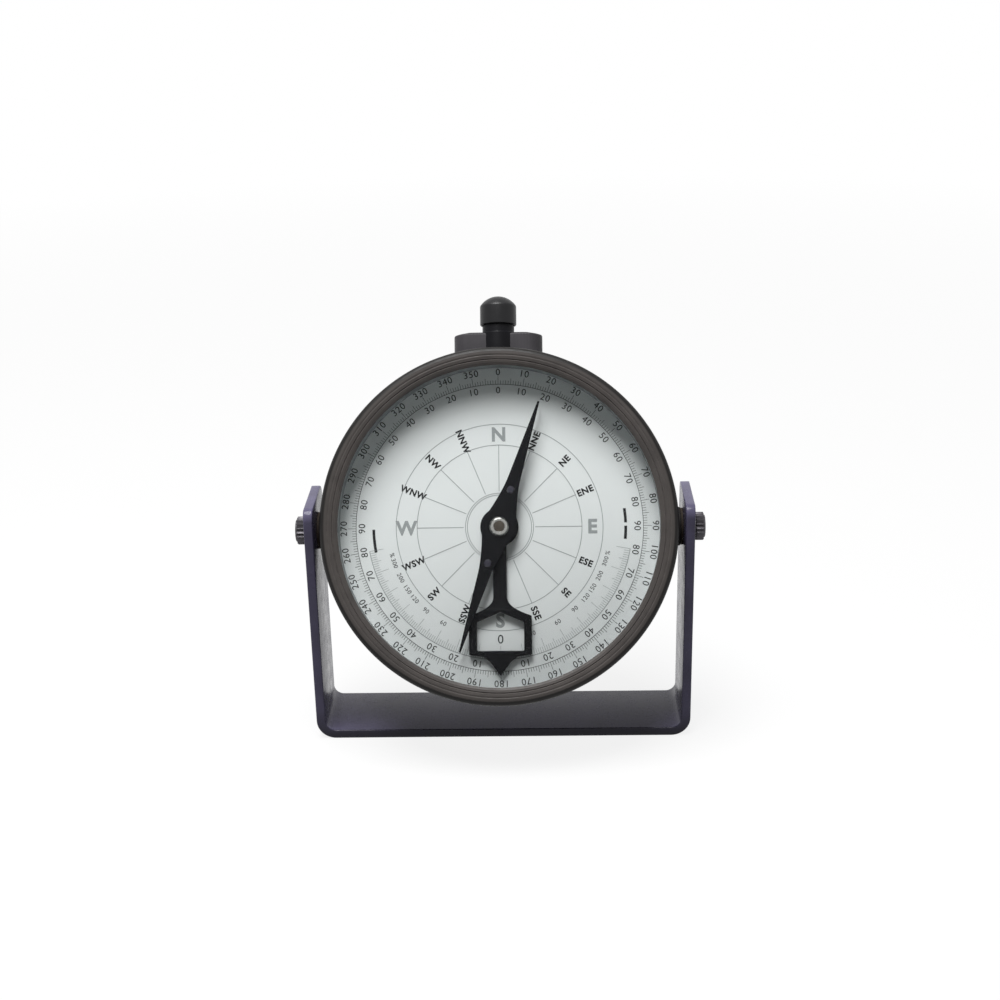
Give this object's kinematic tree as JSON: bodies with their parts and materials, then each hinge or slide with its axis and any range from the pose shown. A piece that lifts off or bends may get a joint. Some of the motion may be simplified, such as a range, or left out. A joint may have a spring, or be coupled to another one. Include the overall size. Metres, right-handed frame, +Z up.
{
  "type": "clinometer compass",
  "caption": "Round glazed compass with a magnetic needle over a hanging clinometer pendulum, pivoted in a U-shaped stand, with a push button that arrests the needle.",
  "frame": {"origin": "centre of the underside of the stand, on the surface it rests on", "axes": "+Z up, +X to the right along the pivot axis, -Y towards the dial side"},
  "size_m": [0.0886, 0.0536, 0.0921],
  "materials": {
    "stand_enamel": "satin slate-grey enamel on steel strip",
    "case_enamel": "satin black-brown finish on turned aluminium",
    "bezel_enamel": "satin brown-grey finish on turned aluminium",
    "clear_glass": "clear polished mineral glass",
    "black_rubber": "matte",
    "dial_enamel": "white enamel with black print",
    "ring_enamel": "matte dark grey",
    "bright_steel": "turned",
    "brass": "turned",
    "needle_steel": "black lacquered steel",
    "pendulum_black": "black lacquered brass",
    "cap_nickel": "nickel plated",
    "jewel": "polished synthetic ruby",
    "button_black": "glossy black",
    "screw_steel": "blackened steel",
    "fibre": "dark fibre"
  },
  "bodies": {
    "stand": {"bracket": "stand_enamel", "left_outer_washer": "screw_steel", "right_outer_washer": "screw_steel"},
    "case": {"case_body": "case_enamel", "bezel_ring": "bezel_enamel", "glass": "clear_glass", "glass_seal": "black_rubber", "dial_ring": "ring_enamel", "dial_plate": "dial_enamel", "pivot_post": "bright_steel", "pendulum_bush": "brass", "bush_clip": "bright_steel", "arrest_bush": "case_enamel", "arrest_bush_screws": "screw_steel", "button_spring": "bright_steel", "lever_stand": "brass", "lever_stand_screws": "bright_steel", "lever_axle": "bright_steel", "left_friction_washer": "fibre", "right_friction_washer": "fibre"},
    "left_clamp": {"left_clamp_screw": "screw_steel"},
    "right_clamp": {"right_clamp_screw": "screw_steel"},
    "button": {"arrest_button": "button_black"},
    "lever": {"lifter_lever": "bright_steel", "lever_drive_pin": "bright_steel"},
    "sleeve": {"lifter_sleeve": "brass"},
    "compass_needle": {"needle": "needle_steel", "needle_cap": "cap_nickel", "needle_jewel": "jewel", "needle_studs": "screw_steel"},
    "clinometer_pendulum": {"pendulum": "pendulum_black", "pendulum_hub": "brass"}
  },
  "joints": [
    {"name": "case_tilt", "type": "hinge", "parent": "stand", "child": "case", "pos_m": [0, 0, 0.0465], "axis": [-1, 0, 0], "range_deg": [-175, 125]},
    {"name": "left_clamp_turn", "type": "hinge", "parent": "case", "child": "left_clamp", "pos_m": [-0.0419, 0, 0.0465], "axis": [-1, 0, 0], "continuous": true},
    {"name": "right_clamp_turn", "type": "hinge", "parent": "case", "child": "right_clamp", "pos_m": [0.0419, 0, 0.0465], "axis": [1, 0, 0], "continuous": true},
    {"name": "arrest_press", "type": "slide", "parent": "case", "child": "button", "axis": [0, -0.4226, -0.9063], "range_m": [0, 0.0015], "stiffness_N_per_m": 400, "springref_m": -0.002, "deforming": ["button_spring"]},
    {"name": "lever_rock", "type": "hinge", "parent": "case", "child": "lever", "pos_m": [0, 0.00864, 0.05792], "axis": [-1, 0, 0], "range_deg": [0, 2.88]},
    {"name": "sleeve_lift", "type": "slide", "parent": "case", "child": "sleeve", "axis": [0, -0.9063, 0.4226], "range_m": [0, 0.000701]},
    {"name": "needle_swing", "type": "hinge", "parent": "sleeve", "child": "compass_needle", "pos_m": [0, -0.00671, 0.04963], "axis": [0, -0.9063, 0.4226], "continuous": true},
    {"name": "pendulum_swing", "type": "hinge", "parent": "case", "child": "clinometer_pendulum", "pos_m": [0, -0.00471, 0.0487], "axis": [0, -0.9063, 0.4226], "continuous": true}
  ],
  "couplings": [
    {"joint": "lever_rock", "follows": "arrest_press", "rad_per_m": 33.347},
    {"joint": "sleeve_lift", "follows": "arrest_press", "ratio": 0.46667}
  ]
}
